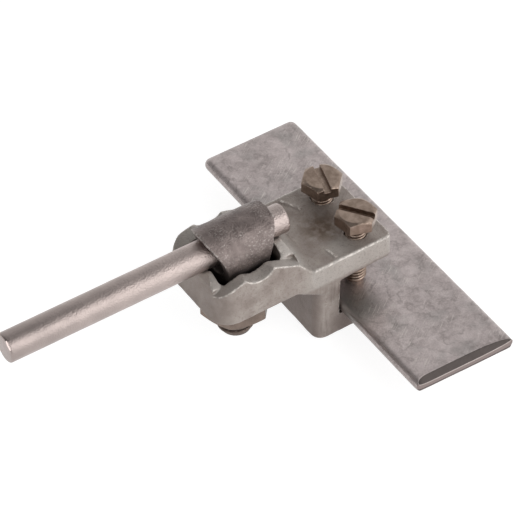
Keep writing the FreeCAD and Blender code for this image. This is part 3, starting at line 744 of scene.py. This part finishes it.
def lay_floor(colours):
    """Matt white paper, which glows to the lens and in reflections, and keeps the object's shadow."""
    below = 0.05 * MM  # how far under the clamp the paper lies
    bm = bmesh.new()
    bmesh.ops.create_grid(bm, x_segments=1, y_segments=1, size=4.0)
    floor = new_piece("floor", bm)
    floor.data.transform(Matrix.Translation((0, 0, CAD_BOX[0].z - below)))
    material = bpy.data.materials.new("Matt white paper")
    tree = cleared(material)
    rays = add(tree, "LightPath").outputs
    seen = rays["Is Camera Ray"]
    for other in (rays["Is Glossy Ray"], rays["Is Transmission Ray"]):
        seen = add(tree, "Math", [seen, other], operation="MAXIMUM")
    # what is seen is mostly glow, with a faint diffuse share for the shadow; other rays meet plain paper
    paper = add(tree, "BsdfDiffuse", {"Color": shade(colours.floor_white, 0.8)})
    faint = add(tree, "BsdfDiffuse", {"Color": shade(colours.floor_white, 0.35)})
    glow = add(tree, "Emission", {"Color": colours.floor_white, "Strength": 0.86})
    mixed = add(tree, "MixShader", [seen, paper, add(tree, "AddShader", [faint, glow])])
    add(tree, "OutputMaterial", {"Surface": mixed})
    floor.data.materials.append(material)


def light_world(scene):
    """A pale room: white along the horizon, dimmer to the left, dark overhead, with one small lamp."""
    scene.world = bpy.data.worlds.new("White room")
    tree = cleared(scene.world)
    way = add(tree, "TexCoord").outputs["Generated"]
    parts = add(tree, "SeparateXYZ", [way]).outputs
    # dark within 30 degrees of a point overhead, and pale from 50 degrees on
    overhead = Vector((-0.3, 0.1, 0.95)).normalized()
    towards = add(tree, "VectorMath", [way, overhead], operation="DOT_PRODUCT")
    level = add(tree, "MapRange", [towards, 0.64, 0.87, 0.76, 0.22])
    # paler still within 5 degrees of the horizon, and dimmer to the left
    horizon = add(tree, "MapRange", [parts["Z"], 0.13, 0.09, 0.0, 0.88])
    level = add(tree, "Math", [level, horizon], operation="MAXIMUM")
    left = add(tree, "MapRange", [parts["X"], -0.8, 0.0, 0.4, 1.0])
    level = add(tree, "Math", [level, left], operation="MULTIPLY")
    # a small lamp to the left glints on the round conductor's end
    lamp = Vector((-0.77, -0.38, 0.51)).normalized()
    towards = add(tree, "VectorMath", [way, lamp], operation="DOT_PRODUCT")
    level = add(tree, "Math", [
        level, add(tree, "MapRange", [towards, 0.978, 0.982, 0.0, 2.5]),
    ], operation="ADD")
    room = add(tree, "Background", {"Color": (1, 1, 1, 1), "Strength": level})
    add(tree, "OutputWorld", {"Surface": room})


def soft_light(name, target, way, distance, size, radiance):
    """A square softbox that faces the target."""
    lamp = bpy.data.lights.new(name, "AREA")
    lamp.shape = "SQUARE"
    lamp.size = size
    lamp.energy = radiance * math.pi * size * size
    holder = bpy.data.objects.new(name, lamp)
    bpy.context.scene.collection.objects.link(holder)
    direction = Vector(way).normalized()
    holder.location = target + direction * distance
    holder.rotation_euler = direction.to_track_quat("Z", "Y").to_euler()


def place_camera(scene):
    """The photograph's viewing angle, as solved from the straight edges of both conductors."""
    turn, rise, roll = math.radians(32.54), math.radians(45.17), math.radians(-1.18)
    target = Vector((10.65, 24.65, 8.8)) * MM
    distance, sideways, upwards = 738 * MM, -12.97 * MM, -15.29 * MM
    eye = bpy.data.cameras.new("photo_view")
    eye.sensor_width = 36.0
    eye.lens = 190.1
    eye.clip_start = 0.01
    camera = bpy.data.objects.new("photo_view", eye)
    scene.collection.objects.link(camera)
    back = Vector((-math.sin(turn) * math.cos(rise), -math.cos(turn) * math.cos(rise), math.sin(rise)))
    level = Vector((math.cos(turn), -math.sin(turn), 0))
    above = back.cross(level)
    right = level * math.cos(roll) + above * math.sin(roll)
    upward = above * math.cos(roll) - level * math.sin(roll)
    place = target + back * distance + right * sideways + upward * upwards
    camera.matrix_world = Matrix((
        (right.x, upward.x, back.x, place.x),
        (right.y, upward.y, back.y, place.y),
        (right.z, upward.z, back.z, place.z),
        (0, 0, 0, 1),
    ))
    scene.camera = camera


# ---------------------------------------------------------------- operators


class CLAMP_OT_stage(bpy.types.Operator):
    """Set the floor, the light and the camera"""

    bl_idname = "clamp.stage"
    bl_label = "Studio"

    def execute(self, context):
        scene = context.scene
        scene.view_settings.view_transform = "Standard"
        lay_floor(scene.clamp_colours)
        light_world(scene)
        low, high = CAD_BOX
        soft_light(
            "front_softbox", target=(low + high) / 2, way=(0.38, -0.82, 0.52),
            distance=0.9, size=0.88, radiance=1.32,
        )
        place_camera(scene)
        return {"FINISHED"}


class CLAMP_OT_casting(bpy.types.Operator):
    """Build the galvanised casting"""

    bl_idname = "clamp.casting"
    bl_label = "Casting"

    def execute(self, context):
        sizes = context.scene.clamp_sizes
        piece = even_skin("casting", merged_copy("clamp_body"), sizes.casting_grid, rounds=1)
        wander(piece, sizes.casting_swell, ((6.0, 1.0), (2.2, 0.7), (1.1, 0.35)), seed=3.0)
        mark_wear(piece, sizes.casting_grid, rounds=1)
        chip(piece, sizes.casting_chips, size=0.9 * MM, seed=5.0)
        rub_ribs(piece, sizes)
        mark_facing(piece)
        settle(piece, "clamp", "clamp_body", galvanised_casting(context.scene.clamp_colours))
        return {"FINISHED"}


class CLAMP_OT_eye_bolt(bpy.types.Operator):
    """Build the forged eye bolt with its threaded stud"""

    bl_idname = "clamp.eye_bolt"
    bl_label = "Eye bolt"

    def execute(self, context):
        sizes = context.scene.clamp_sizes
        low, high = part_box("eye_bolt")
        centre = ((low.x + high.x) / 2, (low.y + high.y) / 2)
        inside = 1.2 * MM  # how far the thread's core reaches up into the shank
        head = merged_copy("eye_bolt")
        cut_below(head, (0, 0, sizes.stud_cut), (0, 0, 1))
        piece = even_skin("forged_eye_bolt", head, sizes.eye_grid, rounds=2)
        wander(piece, sizes.eye_swell, ((4.0, 1.0), (1.8, 0.7), (0.9, 0.35)), seed=11.0)
        mark_wear(piece, sizes.eye_grid, rounds=2)
        bm = bmesh.new()
        bm.from_mesh(piece.data)
        add_thread(bm, centre, low.z, sizes.stud_cut + inside, sizes.stud_radius, sizes.stud_pitch)
        for face in bm.faces:
            face.smooth = True
        bm.to_mesh(piece.data)
        bm.free()
        settle(piece, "eye", "eye_bolt", galvanised_forging(context.scene.clamp_colours))
        return {"FINISHED"}


class CLAMP_OT_nut(bpy.types.Operator):
    """Build the hexagon nut"""

    bl_idname = "clamp.nut"
    bl_label = "Hexagon nut"

    def execute(self, context):
        bm = merged_copy("hex_nut")
        break_edges(bm, context.scene.clamp_sizes.edge_break)
        piece = new_piece("hexagon_nut", bm)
        keep_flats(piece)
        settle(piece, "nut", "hex_nut", stainless_nut(context.scene.clamp_colours))
        return {"FINISHED"}


class CLAMP_OT_screws(bpy.types.Operator):
    """Build the two clamping screws with cut threads"""

    bl_idname = "clamp.screws"
    bl_label = "Clamping screws"

    def execute(self, context):
        sizes = context.scene.clamp_sizes
        material = tarnished_screw(context.scene.clamp_colours)
        neck, inside = 0.02 * MM, 0.5 * MM  # shank left under the head, and thread's core inside it
        for side in ("back", "front"):
            node = f"clamp_screw_{side}"
            low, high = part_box(node)
            centre = ((low.x + high.x) / 2, (low.y + high.y) / 2)
            under = high.z - sizes.screw_head
            bm = merged_copy(node)
            cut_below(bm, (0, 0, under - neck), (0, 0, 1))
            break_edges(bm, sizes.edge_break)
            bmesh.ops.recalc_face_normals(bm, faces=bm.faces)
            add_thread(bm, centre, low.z, under + inside, sizes.screw_radius, sizes.screw_pitch)
            piece = new_piece(f"slotted_screw_{side}", bm)
            keep_flats(piece)
            settle(piece, f"screw_{side}", node, material)
        return {"FINISHED"}


class CLAMP_OT_round_conductor(bpy.types.Operator):
    """Build the round conductor"""

    bl_idname = "clamp.round_conductor"
    bl_label = "Round conductor"

    def execute(self, context):
        sizes = context.scene.clamp_sizes
        low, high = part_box("round_conductor")
        radius, span = (high.z - low.z) / 2, high.x - low.x
        rim, gap = 0.5 * MM, 0.45 * MM  # the ends' rounded rims, and the space from ring to ring of points
        angles = [math.radians(degrees) for degrees in (0, 30, 60, 90)]
        near = [(radius - rim * (1 - math.sin(a)), rim * (1 - math.cos(a))) for a in angles]
        rings = [(radius, gap * step) for step in range(2, int((span - rim) / gap))]
        far = [(out, span - along) for out, along in reversed(near)]
        bm = bmesh.new()
        spun(bm, [(0, 0), *near, *rings, *far, (0, span)], (0, 0), ROD_STEPS)
        start = Matrix.Translation((high.x, (low.y + high.y) / 2, (low.z + high.z) / 2))
        laid = start @ Matrix.Rotation(math.radians(-90), 4, "Y")
        bmesh.ops.transform(bm, matrix=laid, verts=bm.verts)
        bmesh.ops.recalc_face_normals(bm, faces=bm.faces)
        saw_facet(bm, FACET_WAY, sizes.rod_facet)
        piece = new_piece("drawn_round_conductor", bm)
        wander(piece, sizes.rod_swell, ((7.0, 1.0), (1.4, 0.6)), seed=21.0)
        settle(piece, "clamp", "round_conductor", drawn_rod(context.scene.clamp_colours))
        return {"FINISHED"}


class CLAMP_OT_flat_conductor(bpy.types.Operator):
    """Build the flat conductor"""

    bl_idname = "clamp.flat_conductor"
    bl_label = "Flat conductor"

    def execute(self, context):
        sizes = context.scene.clamp_sizes
        piece = even_skin("galvanised_strip", merged_copy("flat_conductor"), sizes.strip_grid, rounds=1)
        mark_facing(piece)
        shear_end(piece, sizes)
        wander(piece, sizes.strip_swell, ((9.0, 1.0), (3.0, 0.6), (1.3, 0.25)), seed=31.0)
        settle(piece, "clamp", "flat_conductor", galvanised_strip(context.scene.clamp_colours))
        return {"FINISHED"}


class CLAMP_PT_panel(bpy.types.Panel):
    """Lists the clamp's pieces and settings"""

    bl_idname = "CLAMP_PT_panel"
    bl_label = "Conductor clamp"
    bl_space_type = "VIEW_3D"
    bl_region_type = "UI"
    bl_category = "Clamp"

    def draw(self, context):
        layout = self.layout
        for operator in OPERATORS:
            layout.operator(operator.bl_idname)
        for group in (context.scene.clamp_sizes, context.scene.clamp_colours):
            box = layout.box()
            for name in group.__annotations__:
                box.prop(group, name)


OPERATORS = (
    CLAMP_OT_stage,
    CLAMP_OT_casting,
    CLAMP_OT_eye_bolt,
    CLAMP_OT_nut,
    CLAMP_OT_screws,
    CLAMP_OT_round_conductor,
    CLAMP_OT_flat_conductor,
)
CLASSES = (ClampSizes, ClampColours, *OPERATORS, CLAMP_PT_panel)


def register():
    for cls in CLASSES:
        bpy.utils.register_class(cls)
    bpy.types.Scene.clamp_sizes = bpy.props.PointerProperty(type=ClampSizes)
    bpy.types.Scene.clamp_colours = bpy.props.PointerProperty(type=ClampColours)


def unregister():
    del bpy.types.Scene.clamp_colours
    del bpy.types.Scene.clamp_sizes
    for cls in reversed(CLASSES):
        bpy.utils.unregister_class(cls)


def main():
    register()
    bpy.ops.clamp.stage()
    bpy.ops.clamp.casting()
    bpy.ops.clamp.eye_bolt()
    bpy.ops.clamp.nut()
    bpy.ops.clamp.screws()
    bpy.ops.clamp.round_conductor()
    bpy.ops.clamp.flat_conductor()


if __name__ == "__main__":
    main()
